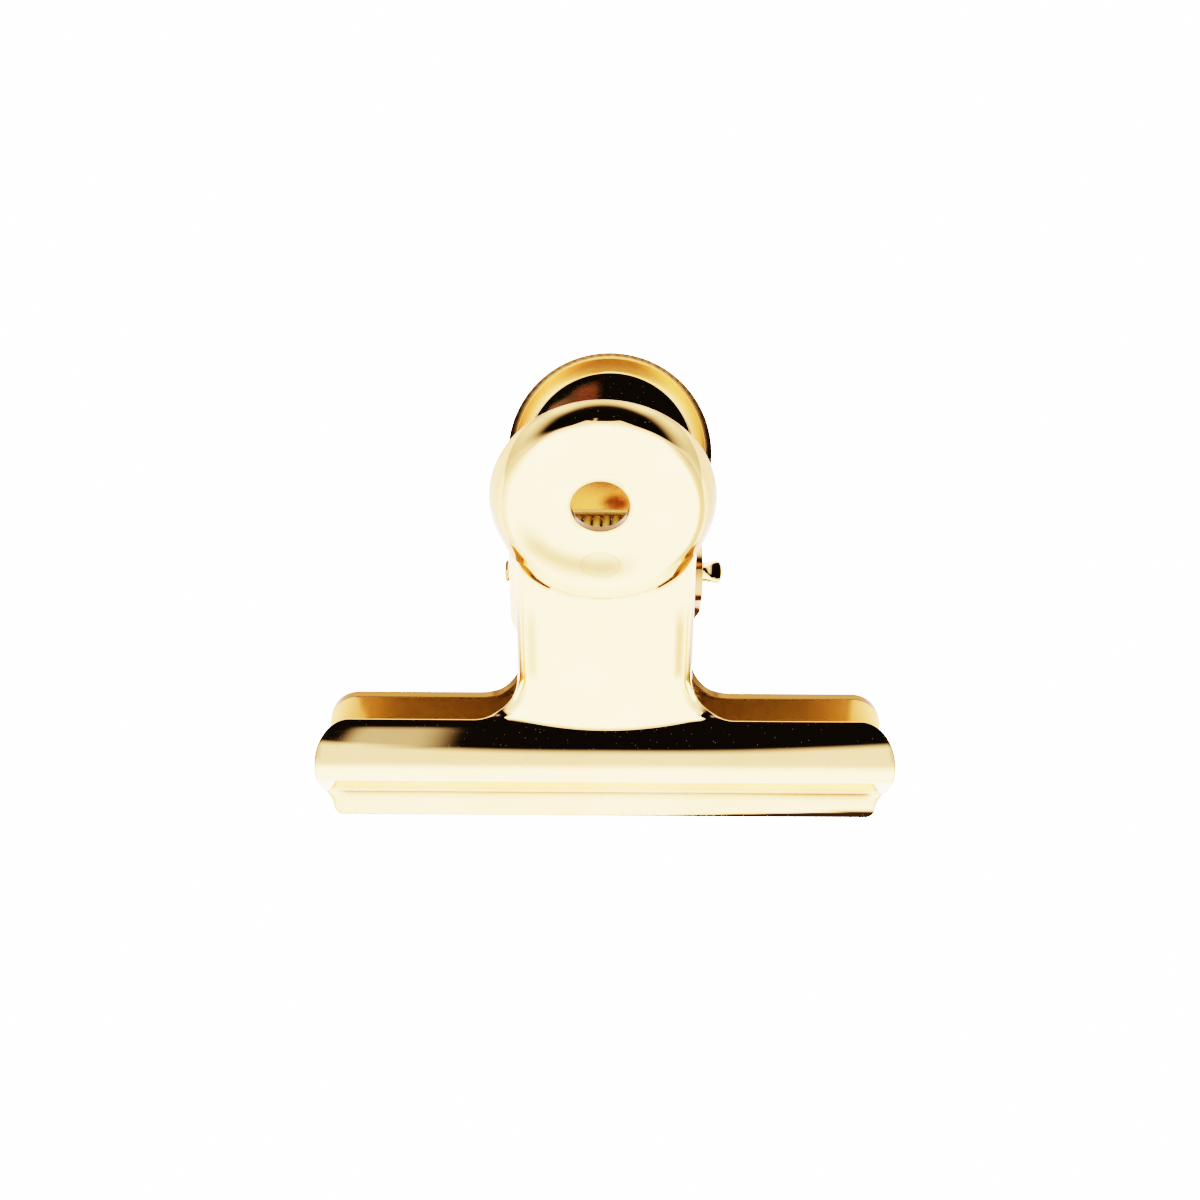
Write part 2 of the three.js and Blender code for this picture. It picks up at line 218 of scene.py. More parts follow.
def surface(a, b):
    """The plate's outer face over its blank (a across, b along): points (x, h, d) in mm."""
    a, b = np.broadcast_arrays(np.asarray(a, float), np.asarray(b, float))
    lim, _ = drop_limit(b)
    h, d, ang = profile_at(b)
    # the flange bend runs out along the fillet between neck and bar
    flare = NECK_FILLET - np.sqrt(NECK_FILLET ** 2 - np.clip(WING_TOP + NECK_FILLET - h, 0, NECK_FILLET * 0.93) ** 2)
    x, drop = section(a, lim, flare)
    # the foot of the neck is bulged, so it meets the bar along a bow
    fall = FALL_C[1] + np.sqrt(np.maximum(FALL_R ** 2 - (h - FALL_C[0]) ** 2, 0))
    plane = DISC_D + (h - DISC_H) * math.tan(HANDLE_TILT)
    bulge = WAIST_BULGE * np.maximum(1 - (a / 5.2) ** 2 - 0.12 * smooth((np.abs(a) - 4.9) / 0.8), -1.0) * (1 - smooth((h - 5.0) / 5.6))

    def over(u, v):
        return 0.5 * (u + v + np.sqrt((u - v) ** 2 + 0.1 ** 2))

    own = (over(fall, plane + bulge) - over(fall, plane)) * smooth((h - 4.3) / 0.4)
    jog = JOGGLE * smooth((drop - JOGGLE_START) / (JOGGLE_END - JOGGLE_START)) * (a < 0) * (b > B_FLANGE)
    x = x - jog
    out = np.stack([x, h + drop * np.sin(ang), d - drop * np.cos(ang) + own], -1)
    # handle: flat face, round bend and rim turned in; both fade where the sheet runs on into the neck
    xr = a - DISC_X
    rho = np.hypot(xr, b)
    on = (rho < (SLIT_IN + SLIT_OUT) / 2) & (b > -6.3)
    across = xr / np.maximum(rho, 1e-6) * SLIT_IN
    fade = np.where(b > 0, 1.0, np.maximum(smooth((across - (BRIDGE_RIGHT - DISC_X)) / RIM_FADE), smooth(((BRIDGE_LEFT - DISC_X) - across) / RIM_FADE)))
    beta = RIM_ANGLE * fade
    s = np.maximum(rho - FACE_R, 0) * (1 + (STRETCH - 1) * fade ** 2)
    bend_s = RIM_BEND * beta
    t = np.minimum(s, bend_s)
    rest = s - t
    phi = t / RIM_BEND
    curl = np.maximum(RIM_CURL * fade, 1e-4) / RIM_LENGTH
    rad = FACE_R + RIM_BEND * np.sin(phi) + (np.sin(beta + curl * rest) - np.sin(beta)) / curl
    low = RIM_BEND * (1 - np.cos(phi)) + (np.cos(beta) - np.cos(beta + curl * rest)) / curl
    k = np.where(rho > FACE_R, rad / np.maximum(rho, 1e-9), 1.0)
    low = np.where(rho > FACE_R, low, 0.0) + DISH * (1 - smooth((rho - 1.3) / 3.1))
    dx, du = DISC_X + xr * k, b * k
    disc = DISC_C + dx[..., None] * np.array([1.0, 0, 0]) + du[..., None] * U_AX - low[..., None] * N_AX
    return np.where(on[..., None], disc, out)


def normals(a, b, e=2e-3):
    du = surface(a + e, b) - surface(a - e, b)
    dv = surface(a, b + e) - surface(a, b - e)
    n = np.cross(du, dv)
    return n / np.maximum(np.linalg.norm(n, axis=-1, keepdims=True), 1e-12)


# ------------------------------------------------------------------ outline of the blank
def invert(x, h, a0, b0):
    """Blank point whose surface point has that x and h."""
    p = np.array([a0, b0], float)
    for _ in range(60):
        q = surface(p[0], p[1])
        r = np.array([x - q[0], h - q[1]])
        if np.abs(r).max() < 1e-6:
            break
        e = 1e-4
        ja = (surface(p[0] + e, p[1]) - surface(p[0] - e, p[1])) / (2 * e)
        jb = (surface(p[0], p[1] + e) - surface(p[0], p[1] - e)) / (2 * e)
        j = np.array([[ja[0], jb[0]], [ja[1], jb[1]]])
        if abs(np.linalg.det(j)) < 1e-6:
            j = j + np.eye(2) * 1e-3
        p = p + np.clip(np.linalg.solve(j, r), -0.3, 0.3)
    return p


def b_of_h(h):
    bs = np.linspace(B_LIP, B_WAIST - 0.3, 4000)
    hs, _, _ = profile_at(bs)
    return float(np.interp(h, hs, bs))


def catmull(pts, step=0.12):
    pts = [np.array(p, float) for p in pts]
    ext = [2 * pts[0] - pts[1]] + pts + [2 * pts[-1] - pts[-2]]
    out = []
    for i in range(1, len(ext) - 2):
        p0, p1, p2, p3 = ext[i - 1 : i + 3]
        n = max(2, int(np.linalg.norm(p2 - p1) / step))
        for k in range(n):
            t = k / n
            out.append(0.5 * ((2 * p1) + (-p0 + p2) * t + (2 * p0 - 5 * p1 + 4 * p2 - p3) * t * t + (-p0 + 3 * p1 - 3 * p2 + p3) * t ** 3))
    out.append(pts[-1])
    return out


def resample(points, step):
    pts = np.array(points)
    keep = [pts[0]]
    for p in pts[1:]:
        if np.linalg.norm(p - keep[-1]) > step * 0.4:
            keep.append(p)
    pts = np.array(keep)
    out = []
    for p, q in zip(pts[:-1], pts[1:]):
        n = max(1, int(math.ceil(np.linalg.norm(q - p) / step)))
        for k in range(n):
            out.append(p + (q - p) * k / n)
    out.append(pts[-1])
    return np.array(out)


def side_outline(side):
    """One side of the outline, from the middle of the lip's edge round to the slit's end at the bridge."""
    pts = []
    r = 0.5
    for i in range(9):
        t = -math.pi / 2 + math.pi / 2 * i / 8
        pts.append((LIP - r + r * math.cos(t), b_of_h(max(r + r * math.sin(t), 0))))
    for x, h in ((LIP + 0.05, 0.75), (LIP + 0.17, 0.98), (LIP + 0.38, 1.32), (HALF - 0.06, 1.5), (HALF, 1.75)):
        pts.append((x, b_of_h(h)))
    n = 26
    for i in range(1, n + 1):
        t = math.pi / 2 * i / n
        x = HALF - WING_CORNER + WING_CORNER * math.cos(t)
        h = WING_TOP - WING_CORNER_H + WING_CORNER_H * math.sin(t)
        pts.append(tuple(invert(x, h, x, b_of_h(min(h, 5.6)) + max(h - 5.6, 0))))
    edge = NECK_RIGHT if side > 0 else -NECK_LEFT
    cx, cy = edge + NECK_FILLET, WING_TOP + NECK_FILLET
    p = np.array(pts[-1])
    p = invert(cx + 0.02, WING_TOP, cx, p[1])
    pts.append(tuple(p))
    n = 26
    g = np.array(p)
    for i in range(1, n):
        t = -math.pi / 2 - math.pi / 2 * i / n
        g = invert(cx + NECK_FILLET * math.cos(t), cy + NECK_FILLET * math.sin(t), g[0] - 0.02, g[1] + 0.03)
        pts.append(tuple(g))
    # ear: depth below the neck's face against b
    wall = edge - NECK_BEND + NECK_BEND * math.pi / 2 - NECK_BEND
    lug = [(pinU + LUG_R * math.cos(math.radians(t)), -pinN - LUG_R * math.sin(math.radians(t))) for t in range(-176, 27, 8)]
    top = -(SLIT_OUT ** 2 - (edge + (-DISC_X if side > 0 else DISC_X)) ** 2) ** 0.5
    ear = catmull([(B_FLANGE, 1.0), (-10.35, 1.45), (-9.7, 2.1), (-9.0, 2.9), (pinU - LUG_R - 0.06, 3.9)] + lug + [(-4.95, 3.55), (-4.35, 2.75), (top - 0.25, 1.75), (top, 1.0)], 0.1)
    ear = [(wall + d, b) for b, d in ear]
    pts += ear
    # top of the neck: along the slit
    c = DISC_X if side > 0 else -DISC_X
    bridge = (BRIDGE_RIGHT if side > 0 else -BRIDGE_LEFT) - c
    x_top = edge - c
    a0 = math.atan2(top, x_top)
    a1 = -math.pi / 2 + math.asin(bridge / SLIT_OUT)
    n = 30
    for i in range(1, n + 1):
        t = a0 + (a1 - a0) * i / n
        x, u = c + SLIT_OUT * math.cos(t), SLIT_OUT * math.sin(t)
        xs = edge - NECK_BEND
        if x > xs:
            x = xs + NECK_BEND * math.asin(min((x - xs) / NECK_BEND, 1))
        pts.append((x, u))
    # round end of the slit, then back along the rim's edge
    i0 = -math.pi / 2 + math.asin(bridge / SLIT_IN)
    p_out = np.array([c + SLIT_OUT * math.cos(a1), SLIT_OUT * math.sin(a1)])
    p_in = np.array([c + SLIT_IN * math.cos(i0), SLIT_IN * math.sin(i0)])
    m = (p_out + p_in) / 2
    v = (p_out - p_in) / 2
    for i in range(1, 8):
        t = math.pi * i / 8
        w = np.array([-v[1], v[0]]) * (1 if v[0] * 0 + 1 > 0 else -1)
        if w[0] > 0:
            w = -w
        pts.append(tuple(m + v * math.cos(t) + w * math.sin(t)))
    pts.append(tuple(p_in))
    return [(side * x, b) for x, b in pts], (c * side, i0)


right, (_, i0r) = side_outline(1)
left, (_, i0l) = side_outline(-1)
rim_from = i0r
rim_to = math.pi - i0l
n = 150
rim = [(DISC_X + SLIT_IN * math.cos(t), SLIT_IN * math.sin(t)) for t in np.linspace(rim_from, rim_to, n + 1)][1:-1]
bottom = [(x, B_LIP) for x in np.linspace(-(LIP - 0.5), LIP - 0.5, 80)][1:-1]
outline = resample(right, 0.12).tolist() + rim + resample(left[::-1], 0.12).tolist() + bottom
outline = np.array(outline)


def circle_loop(cx, cy, r, n):
    return np.array([(cx + r * math.cos(2 * math.pi * i / n), cy + r * math.sin(2 * math.pi * i / n)) for i in range(n)])


def flange_a(depth, side):
    edge = NECK_RIGHT if side > 0 else -NECK_LEFT
    return side * (edge - NECK_BEND + NECK_BEND * math.pi / 2 + depth - NECK_BEND)


holes = [
    circle_loop(HOLE_X, HOLE_U, HOLE_R, 96),
    circle_loop(flange_a(-pinN, 1), pinU, PIN_HOLE_R, 40),
    circle_loop(flange_a(-pinN, -1), pinU, PIN_HOLE_R, 40),
]


def inside(points, loop):
    x, y = points[:, 0], points[:, 1]
    res = np.zeros(len(points), bool)
    x1, y1 = loop[:, 0], loop[:, 1]
    x2, y2 = np.roll(x1, -1), np.roll(y1, -1)
    for i in range(len(loop)):
        if y1[i] == y2[i]:
            continue
        c = ((y1[i] > y) != (y2[i] > y)) & (x < (x2[i] - x1[i]) * (y - y1[i]) / (y2[i] - y1[i]) + x1[i])
        res ^= c
    return res


def near(points, loops, d):
    """True where a point is closer than d to a loop's own points."""
    from mathutils.kdtree import KDTree
    all_p = np.vstack(loops)
    tree = KDTree(len(all_p))
    for i, p in enumerate(all_p):
        tree.insert((p[0], p[1], 0), i)
    tree.balance()
    return np.array([tree.find((p[0], p[1], 0))[2] < d for p in points])


def steps(lo, hi, step):
    return list(np.linspace(lo, hi, max(2, int(math.ceil((hi - lo) / step)) + 1)))[:-1]


def blank_points():
    """Points inside the blank, close together where the sheet bends."""
    crease_lo, crease_hi = b_of_h(1.3), b_of_h(1.75)
    crest_lo, crest_hi = b_of_h(2.9), b_of_h(4.25)
    rows = steps(B_LIP, B_LIP + 0.3, 0.06) + steps(B_LIP + 0.3, crease_lo, 0.25) + steps(crease_lo, crease_hi, 0.05) + steps(crease_hi, crest_lo, 0.22)
    rows += steps(crest_lo, crest_hi, 0.07) + steps(crest_hi, B_WAIST - 1.5, 0.16) + steps(B_WAIST - 1.5, B_WAIST + 0.08, 0.05)
    neck_rows = steps(B_WAIST + 0.08, B_FLANGE + 0.2, 0.09) + steps(B_FLANGE + 0.2, -2.2, 0.22)
    pts = []
    for b in rows:
        fine = b > B_WAIST - 1.55
        cols = (steps(0, 0.6, 0.3) + steps(0.6, 6.9, 0.11) if fine else steps(0, 6.9, 0.24)) + steps(6.9, 15.2, 0.3)
        for x in cols:
            pts += [(x, b), (-x, b)]
    for b in neck_rows:
        cols = (steps(0, 0.6, 0.3) + steps(0.6, 3.3, 0.13) if b < B_FLANGE + 0.2 else steps(0, 3.3, 0.3)) + steps(3.3, 5.2, 0.09) + steps(5.2, 11.5, 0.2)
        for x in cols:
            pts += [(x, b), (-x, b)]
    pts = np.array(pts)
    xr = pts[:, 0] - DISC_X
    pts = pts[np.hypot(xr, pts[:, 1]) > (SLIT_IN + SLIT_OUT) / 2 + 0.03]
    polar = []
    radii = steps(0.35, 4.35, 0.3) + steps(4.35, 4.46, 0.055) + steps(4.46, 4.78, 0.022) + steps(4.78, 5.25, 0.05)
    for i, r in enumerate(radii):
        m = max(8, int(2 * math.pi * r / 0.3)) if r < 4.3 else 260
        t = np.arange(m) * 2 * math.pi / m + (0.5 * (i % 2)) * 2 * math.pi / m
        polar.append(np.stack([DISC_X + r * np.cos(t), r * np.sin(t)], 1))
    ring = np.arange(72) * 2 * math.pi / 72
    for k in (0.93, 0.965, 1.0, 1.035, 1.07):
        polar.append(np.stack([-0.27 + 0.95 * k * np.cos(ring), -3.25 + 0.72 * k * np.sin(ring)], 1))
    bridge = np.array([(x, b) for x in np.arange(-2.6, 2.5, 0.15) for b in np.arange(-5.33, -5.27, 0.03)])
    pts = np.vstack([pts, np.vstack(polar), bridge])
    ok = inside(pts, outline)
    for loop in holes:
        ok &= ~inside(pts, loop)
    pts = pts[ok]
    return pts[~near(pts, [outline] + holes, 0.095)]


def plate_mesh(name):
    """The stamping as a closed mesh: outer face, inner face and rounded sheared edges."""
    loops = [outline] + holes
    verts, edges, start = [], [], 0
    rings = []
    for loop in loops:
        k = len(loop)
        ring = list(range(start, start + k))
        rings.append(ring)
        verts += [Vector(p) for p in loop]
        edges += [(ring[i], ring[(i + 1) % k]) for i in range(k)]
        start += k
    verts += [Vector(p) for p in blank_points()]
    res = delaunay_2d_cdt(verts, edges, [], 0, 1e-6)
    v = np.array([tuple(p) for p in res[0]])
    tris = np.array([t for t in res[2]])
    cen = v[tris].mean(1)
    ok = inside(cen, outline)
    for loop in holes:
        ok &= ~inside(cen, loop)
    tris = tris[ok]
    remap = {}
    for new, olds in enumerate(res[3]):
        for o in olds:
            remap[o] = new
    rings = [[remap[i] for i in ring] for ring in rings]
    area = (v[tris[:, 1], 0] - v[tris[:, 0], 0]) * (v[tris[:, 2], 1] - v[tris[:, 0], 1]) - (v[tris[:, 2], 0] - v[tris[:, 0], 0]) * (v[tris[:, 1], 1] - v[tris[:, 0], 1])
    tris[area < 0] = tris[area < 0][:, ::-1]
    P = surface(v[:, 0], v[:, 1])
    N = normals(v[:, 0], v[:, 1])
    # outward direction in the sheet at each boundary point
    out_dir = np.zeros_like(P)
    on_ring = np.zeros(len(v), bool)
    for r_i, ring in enumerate(rings):
        ring = np.array(ring)
        q = P[ring]
        tan = np.roll(q, -1, 0) - np.roll(q, 1, 0)
        tan /= np.maximum(np.linalg.norm(tan, axis=1, keepdims=True), 1e-12)
        w = np.cross(tan, N[ring])
        w /= np.maximum(np.linalg.norm(w, axis=1, keepdims=True), 1e-12)
        if r_i > 0:
            w = -w
        out_dir[ring] = w
        on_ring[ring] = True
    inset = 0.06
    top = P - np.where(on_ring[:, None], out_dir * inset, 0)
    inner = P - N * SHEET - np.where(on_ring[:, None], out_dir * inset * 0.8, 0)
    used = np.unique(tris)
    index = -np.ones(len(v), int)
    index[used] = np.arange(len(used))
    verts3 = [top[used], inner[used]]
    blank = [v[used], v[used]]
    kind = [np.zeros(len(used)), np.ones(len(used))]
    at_edge = [on_ring[used], on_ring[used]]
    norms3 = [N[used], -N[used]]
    k = len(used)
    faces = [tuple(index[t]) for t in tris] + [tuple(index[t][::-1] + k) for t in tris]
    total = 2 * k
    # (outward, down, normal's outward share)
    wall = [(-0.008, 0.012, 0.6), (0.0, 0.045, 1.0), (0.0, SHEET * 0.5, 1.0), (0.0, SHEET - 0.04, 1.0), (-0.008, SHEET - 0.01, 0.6)]
    for r_i, ring in enumerate(rings):
        ring = np.array(ring)
        m = len(ring)
        levels = [index[ring]]
        for o, dn, share in wall:
            verts3.append(P[ring] + out_dir[ring] * o - N[ring] * dn)
            up = 1.0 if dn < SHEET / 2 else -1.0
            nn = out_dir[ring] * share + N[ring] * up * math.sqrt(max(0, 1 - share * share))
            norms3.append(nn / np.linalg.norm(nn, axis=1, keepdims=True))
            blank.append(v[ring])
            kind.append(np.full(m, 2.0 + dn))
            at_edge.append(np.ones(m, bool))
            levels.append(np.arange(total, total + m))
            total += m
        levels.append(index[ring] + k)
        for lo, hi in zip(levels[:-1], levels[1:]):
            for i in range(m):
                j = (i + 1) % m
                f = (lo[i], hi[i], hi[j], lo[j])
                faces.append(f if r_i == 0 else f[::-1])
    V = np.vstack(verts3)
    NN = np.vstack(norms3)
    blank, kind = np.vstack(blank), np.concatenate(kind)
    return V, NN, faces, tones(blank, kind, np.concatenate(at_edge)), (kind >= 2) & (np.abs(blank[:, 0]) > 4.8) & (blank[:, 1] > B_LIP + 3) & (blank[:, 1] < B_WAIST + 2)


def tones(blank, kind, edge):
    """Painted shade and painted reflections as a colour multiplier (three channels), partly the darker bare edge, and
    dullness of the surface at every vertex.
    """
    a, b = blank[:, 0], blank[:, 1]
    rho = np.hypot(a - DISC_X, b)
    t = np.ones((len(a), 4))
    t[:, 3] = 0.0

    def lay(weight, colour, dull):
        w = weight[:, None]
        t[:] = t * (1 - w) + np.array([*colour, dull]) * w

    # inside of the bar: painted shade, and a deeper painted reflection on the wings, not quite out to the ends
    bar = (kind == 1) * (b < B_WAIST + 1.0)
    lay(bar * 1.0, (1, 0.97, 0.9), 0.5)
    lay(bar * smooth((12.7 + 0.22 * (b - B_LIP - 4) * (a > 0) + 0.8 * (a < 0) - np.abs(a)) / 0.3), WING_PAINTED_REFLECTION, 0.32)
    # inside of the handle's rim: painted reflection
    rim = (rho < (SLIT_IN + SLIT_OUT) / 2) & (b > -6.3)
    lay((kind == 1) * rim * smooth((rho - FACE_R - 0.12) / 0.1), RIM_PAINTED_REFLECTION, 0.34)
    # painted reddish reflection patch on the inside of the handle
    patch = smooth((a + 0.2) / 1.0) * smooth((4.3 - rho) / 0.4) * (b > 0.5) * (1 - 0.7 * smooth(1.3 - np.hypot(a - 2.6, (b - 3.3) * 1.6)))
    lay((kind == 1) * patch, (1.0, 0.5, 0.42), 0.215)
    # painted shade over the middle of the handle's inside, which is also duller, and a painted shadow spot in it
    lay((kind == 1) * smooth((1.2 - b) / 0.8) * smooth((b + 6.2) / 1.0) * smooth((3.4 - np.abs(a)) / 1.0), (0.6, 0.6, 0.68), 0.2)
    lay((kind == 1) * 0.95 * smooth((1.7 - np.hypot((a + 0.5) / 0.7, (b + 2.62) / 0.42)) / 1.2), (0.05, 0.04, 0.035), 0.12)
    # soft, duller shoulders of the neck, and painted reflection bands along its flange bends
    neck = (kind == 0) * (np.abs(a) > 3.0) * (b < -4.9)
    lay(neck * smooth((b - B_FLANGE - 0.2) / 0.8) * smooth((np.abs(a) - 3.7) / 0.7), (1, 0.97, 0.92), 0.2)
    along = (kind == 0) * (b < -4.9) * smooth((b - B_FLANGE - 0.3) / 0.8)
    lay(along * smooth((-5.1 - b) / 2.2) * smooth((1.3 - np.abs(np.abs(a) - 3.72) / 0.3) / 1.1) * np.where(a > 0, 0.9, 0.6), (0.4, 0.31, 0.24), 0.1)
    lay(along * smooth((-5.1 - b) / 2.2) * smooth((np.abs(a) - 4.35) / 0.25) * smooth((5.35 - np.abs(a)) / 0.2) * np.where(a > 0, 0.95, 0.8), (0.1, 0.07, 0.045), 0.15)
    # painted paler reflection on the foot of the bulge, and a painted shade line along the crease above the lip, darker
    # towards one end
    crease = b_of_h(LIP_HEIGHT)
    lay((kind == 0) * smooth((b - crease - 0.02) / 0.1) * smooth((crease + 1.1 - b) / 0.5), (1.05, 1.5, 2.8), 0.3)
    line = (kind == 0) * smooth(1.6 - np.abs(b - crease + 0.05) / 0.14) * smooth((14.2 - np.abs(a)) / 0.3)
    lay(line * (0.85 + 0.15 * smooth((a - 4) / 8)), (0.34, 0.24, 0.14), 0.15)
    lay(line * smooth((a - 6) / 7) * 0.7, (0.2, 0.13, 0.07), 0.15)
    # outside of the rim: painted shade, darker at its sides and towards its edge, with painted dark outline lines
    lay((kind == 0) * rim * smooth((rho - FACE_R - 0.1) / 0.2), (0.97, 0.92, 0.84), 0.03)
    turn = np.abs(a - DISC_X) / np.maximum(rho, 1e-6)
    lay((kind == 0) * rim * smooth((rho - FACE_R - 0.12) / 0.25) * smooth((turn - 0.5) / 0.35) * np.where(a > 0, 1.0, 0.8), (0.45, 0.42, 0.38), 0.05)
    lay((kind == 0) * rim * smooth((turn - 0.55) / 0.3) * smooth(1.5 - np.abs(rho - 4.64) / 0.08) * np.where(a > 0, 0.9, 0.5), (0.3, 0.25, 0.19), 0.05)
    lay((kind == 0) * rim * 0.8 * smooth((rho - SLIT_IN + 0.15) / 0.15), (0.34, 0.3, 0.26), 0.05)
    # painted soft crescent of shade at the foot of the dished face
    turn_b = np.degrees(np.arctan2(b, a - DISC_X))
    arm = 3.42 + 0.5 * smooth((-turn_b - 100) / 60)
    lay((kind == 0) * smooth((1.5 - np.abs(rho - arm) / 0.62) / 1.4) * smooth((turn_b + 178) / 34) * smooth((-52 - turn_b) / 34) * (b < 0), (0.40, 0.385, 0.35), 0.07)
    # round tool mark on the handle, shown as a painted shade patch with a darker painted outline
    mark = np.hypot((a + 0.27) / 0.95, (b + 3.25) / 0.72)
    lay((kind == 0) * smooth((1.0 - mark) / 0.1) * 0.3, (0.34, 0.32, 0.29), 0.04)
    lay((kind == 0) * smooth(1.35 - np.abs(mark - 1) / 0.035) * (0.5 + 0.3 * smooth((b + 3.3) / 0.5)), (0.2, 0.18, 0.16), 0.04)
    # sheared edges: partly their own darker bare colour, partly painted shade that draws dark outlines
    shear = np.array([((i * 7919) % 101) / 101 for i in range(len(a))])
    lay(((kind == 0) & edge) * 0.7, EDGE_BARE_AND_PAINTED_SHADE, 0.05)
    lay((kind >= 2) * 1.0, EDGE_BARE_AND_PAINTED_SHADE, 0.12)
    lay((kind >= 2.3) * rim, RIM_PAINTED_REFLECTION, 0.2)
    # painted reflection on the slit walls, paler than the other edges
    slit = (kind >= 2) * smooth((0.25 - np.abs(rho - (SLIT_IN + SLIT_OUT) / 2)) / 0.1) * smooth((-2.6 - b) / 0.5)
    lay(slit, (0.8, 0.7, 0.58), 0.4)
    # painted dark outline round the hole's edge
    lay((kind >= 2) * smooth((HOLE_R + 0.3 - np.hypot(a - HOLE_X, b - HOLE_U)) / 0.1), (0.10, 0.07, 0.035), 0.22)
    # painted dark outline on the rim's outer edge, varying at random
    lay((kind >= 2) * (kind < 2.3) * rim * (0.4 + 0.6 * shear), (0.10, 0.07, 0.05), 0.12)
    # painted shade along the lip's edge and on its sheared edge, deeper towards one end
    wide = 0.36 * np.clip((a + 0.5) / 14.5, 0, 1)
    lay((kind == 0) * smooth((wide + 0.02 - (b - B_LIP)) / 0.06) * (a > 0), (0.012, 0.009, 0.008), 0.1)
    lay((kind >= 2) * (b < B_LIP + 0.3) * smooth((a - 1.5) / 5), (0.012, 0.009, 0.007), 0.2)
    return t


# painted reflection colour for the inside of the rim and its lower edge
RIM_PAINTED_REFLECTION = (1.0, 0.86, 0.62)
# painted reflection colour for the inside of the bar's wings
WING_PAINTED_REFLECTION = (0.52, 0.64, 0.66)
# darker colour of the sheared edges: their own bare colour and painted shade
EDGE_BARE_AND_PAINTED_SHADE = (0.42, 0.36, 0.32)
V, NN, FACES, TONE, WING_EDGE = plate_mesh("plate")
TONE_REAR = TONE.copy()
# painted shade on the sheared edges of the rear plate's wings
TONE_REAR[WING_EDGE] = (0.15, 0.11, 0.075, 0.2)


def make_object(name, verts, faces, norms=None, tone=None):
    me = bpy.data.meshes.new(name)
    me.from_pydata([tuple(p) for p in verts], [], [tuple(int(i) for i in f) for f in faces])
    me.validate(clean_customdata=False)
    me.polygons.foreach_set("use_smooth", [True] * len(me.polygons))
    me.update()
    if tone is not None:
        me.attributes.new("tone", "FLOAT_COLOR", "POINT").data.foreach_set("color", np.concatenate([tone[:, :3], np.ones((len(tone), 1))], 1).ravel())
        me.attributes.new("dull", "FLOAT", "POINT").data.foreach_set("value", tone[:, 3].copy())
    if norms is not None:
        me.normals_split_custom_set_from_vertices([tuple(n) for n in norms])
    ob = bpy.data.objects.new(name, me)
    bpy.context.scene.collection.objects.link(ob)
    return ob


def turned(v, rear):
    """Directions only, from clip coordinates to the frame."""
    return to_frame(v, rear) - to_frame(np.zeros_like(v), rear)


def plate(name, rear):
    n = turned(NN, rear)
    n /= np.linalg.norm(n, axis=1, keepdims=True)
    return make_object(name, to_frame(V, rear), FACES, n, TONE_REAR if rear else TONE)


front_plate = plate("front_plate", False)
rear_plate = plate("rear_plate", True)

# ------------------------------------------------------------------ pin
PIN_TURN = math.radians(-31)


def pin_mesh():
    """Wire pin: round shank, both ends pinched flat and spread."""
    # stations along x: half height (v), half thickness (w), roundness 2 = ellipse, higher = squarer
    st = [
        (-5.235, 0.30, 0.12, 2.6), (-5.225, 0.42, 0.22, 3.2), (-5.20, 0.49, 0.29, 3.6), (-5.16, 0.545, 0.315, 4.0), (-5.12, 0.565, 0.34, 3.6),
        (-5.08, 0.55, 0.39, 2.8), (-5.03, 0.52, 0.46, 2.2), (-4.98, 0.50, 0.495, 2.0), (-4.5, 0.5, 0.5, 2), (-2, 0.5, 0.5, 2), (0, 0.5, 0.5, 2), (2, 0.5, 0.5, 2), (4.5, 0.5, 0.5, 2), (5.08, 0.50, 0.498, 2),
        (5.2, 0.505, 0.47, 2.2), (5.32, 0.52, 0.40, 2.7), (5.42, 0.535, 0.335, 3.6), (5.52, 0.55, 0.295, 4.5), (5.64, 0.565, 0.28, 5), (5.76, 0.585, 0.275, 5), (5.86, 0.598, 0.275, 5),
        (5.92, 0.59, 0.272, 4.6), (5.965, 0.55, 0.262, 4.2), (5.995, 0.46, 0.235, 3.6), (6.012, 0.34, 0.18, 3), (6.018, 0.15, 0.08, 2.4),
    ]
    m = 48
    verts, faces = [], []
    for x, hv, hw, p in st:
        for i in range(m):
            t = 2 * math.pi * i / m
            c, s = math.cos(t), math.sin(t)
            e = 2.0 / p
            y = hv * math.copysign(abs(c) ** e, c)
            z = hw * math.copysign(abs(s) ** e, s)
            # the right-hand end is a fan, a little convex at its tip
            xx = x
            if x > 5.86:
                xx = x - 0.10 * (abs(y) / 0.6) ** 2 * min(1, (x - 5.86) / 0.1)
            verts.append((xx, y, z))
    for k in range(len(st) - 1):
        for i in range(m):
            j = (i + 1) % m
            faces.append((k * m + i, (k + 1) * m + i, (k + 1) * m + j, k * m + j)[::-1])
    verts += [(st[0][0] - 0.003, 0, 0), (st[-1][0] + 0.002, 0, 0)]
    a, b = len(verts) - 2, len(verts) - 1
    for i in range(m):
        j = (i + 1) % m
        faces.append((a, j, i)[::-1])
        faces.append((b, (len(st) - 1) * m + i, (len(st) - 1) * m + j)[::-1])
    v = np.array(verts)
    c, s = math.cos(PIN_TURN), math.sin(PIN_TURN)
    y = v[:, 1] * c - v[:, 2] * s
    z = v[:, 1] * s + v[:, 2] * c
    v = np.stack([v[:, 0], y + PIN_H, z], 1)
    return v, faces


pv, pf = pin_mesh()
px = pv[:, 0]
pin_tone = np.ones((len(pv), 4))
pin_tone[:, 3] = 0.0
